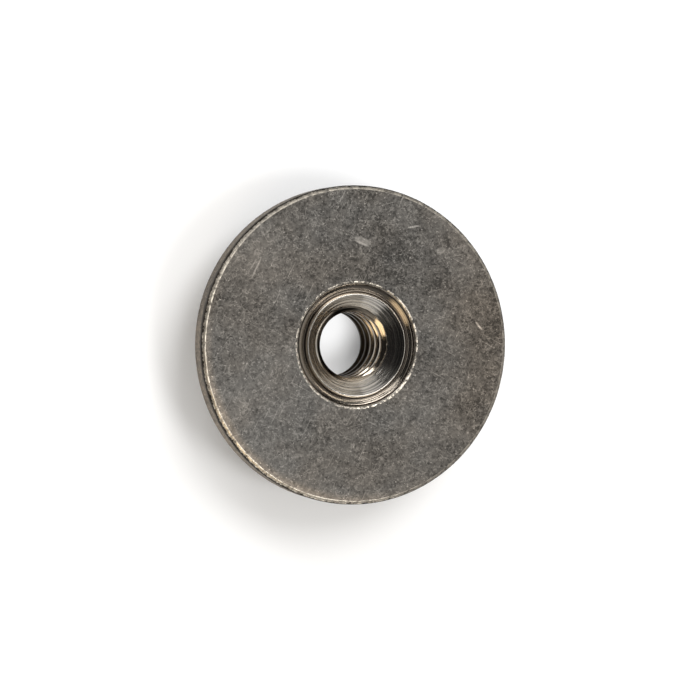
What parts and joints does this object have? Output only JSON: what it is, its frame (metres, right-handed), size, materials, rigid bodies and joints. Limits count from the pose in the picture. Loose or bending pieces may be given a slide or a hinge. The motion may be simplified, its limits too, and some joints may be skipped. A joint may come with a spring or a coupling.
{
  "type": "round flange nut",
  "caption": "Round flange nut: a flat disc flange on a plain round hub, with a threaded hole through both that opens in the flange face through a cone, a lip and a shallow groove.",
  "frame": {"origin": "on the axis of the bore, at the end of the hub that the nut stands on", "axes": "+Z along the bore's axis, out of the flange face; X and Y are across the flange"},
  "size_m": [0.0254, 0.0254, 0.0077],
  "materials": {
    "dark_steel": "dark warm grey, tumbled matt on the flange, turned smooth in the bore's mouth, worn bright along the edges"
  },
  "bodies": {
    "root": {"nut": "dark_steel"}
  },
  "joints": []
}
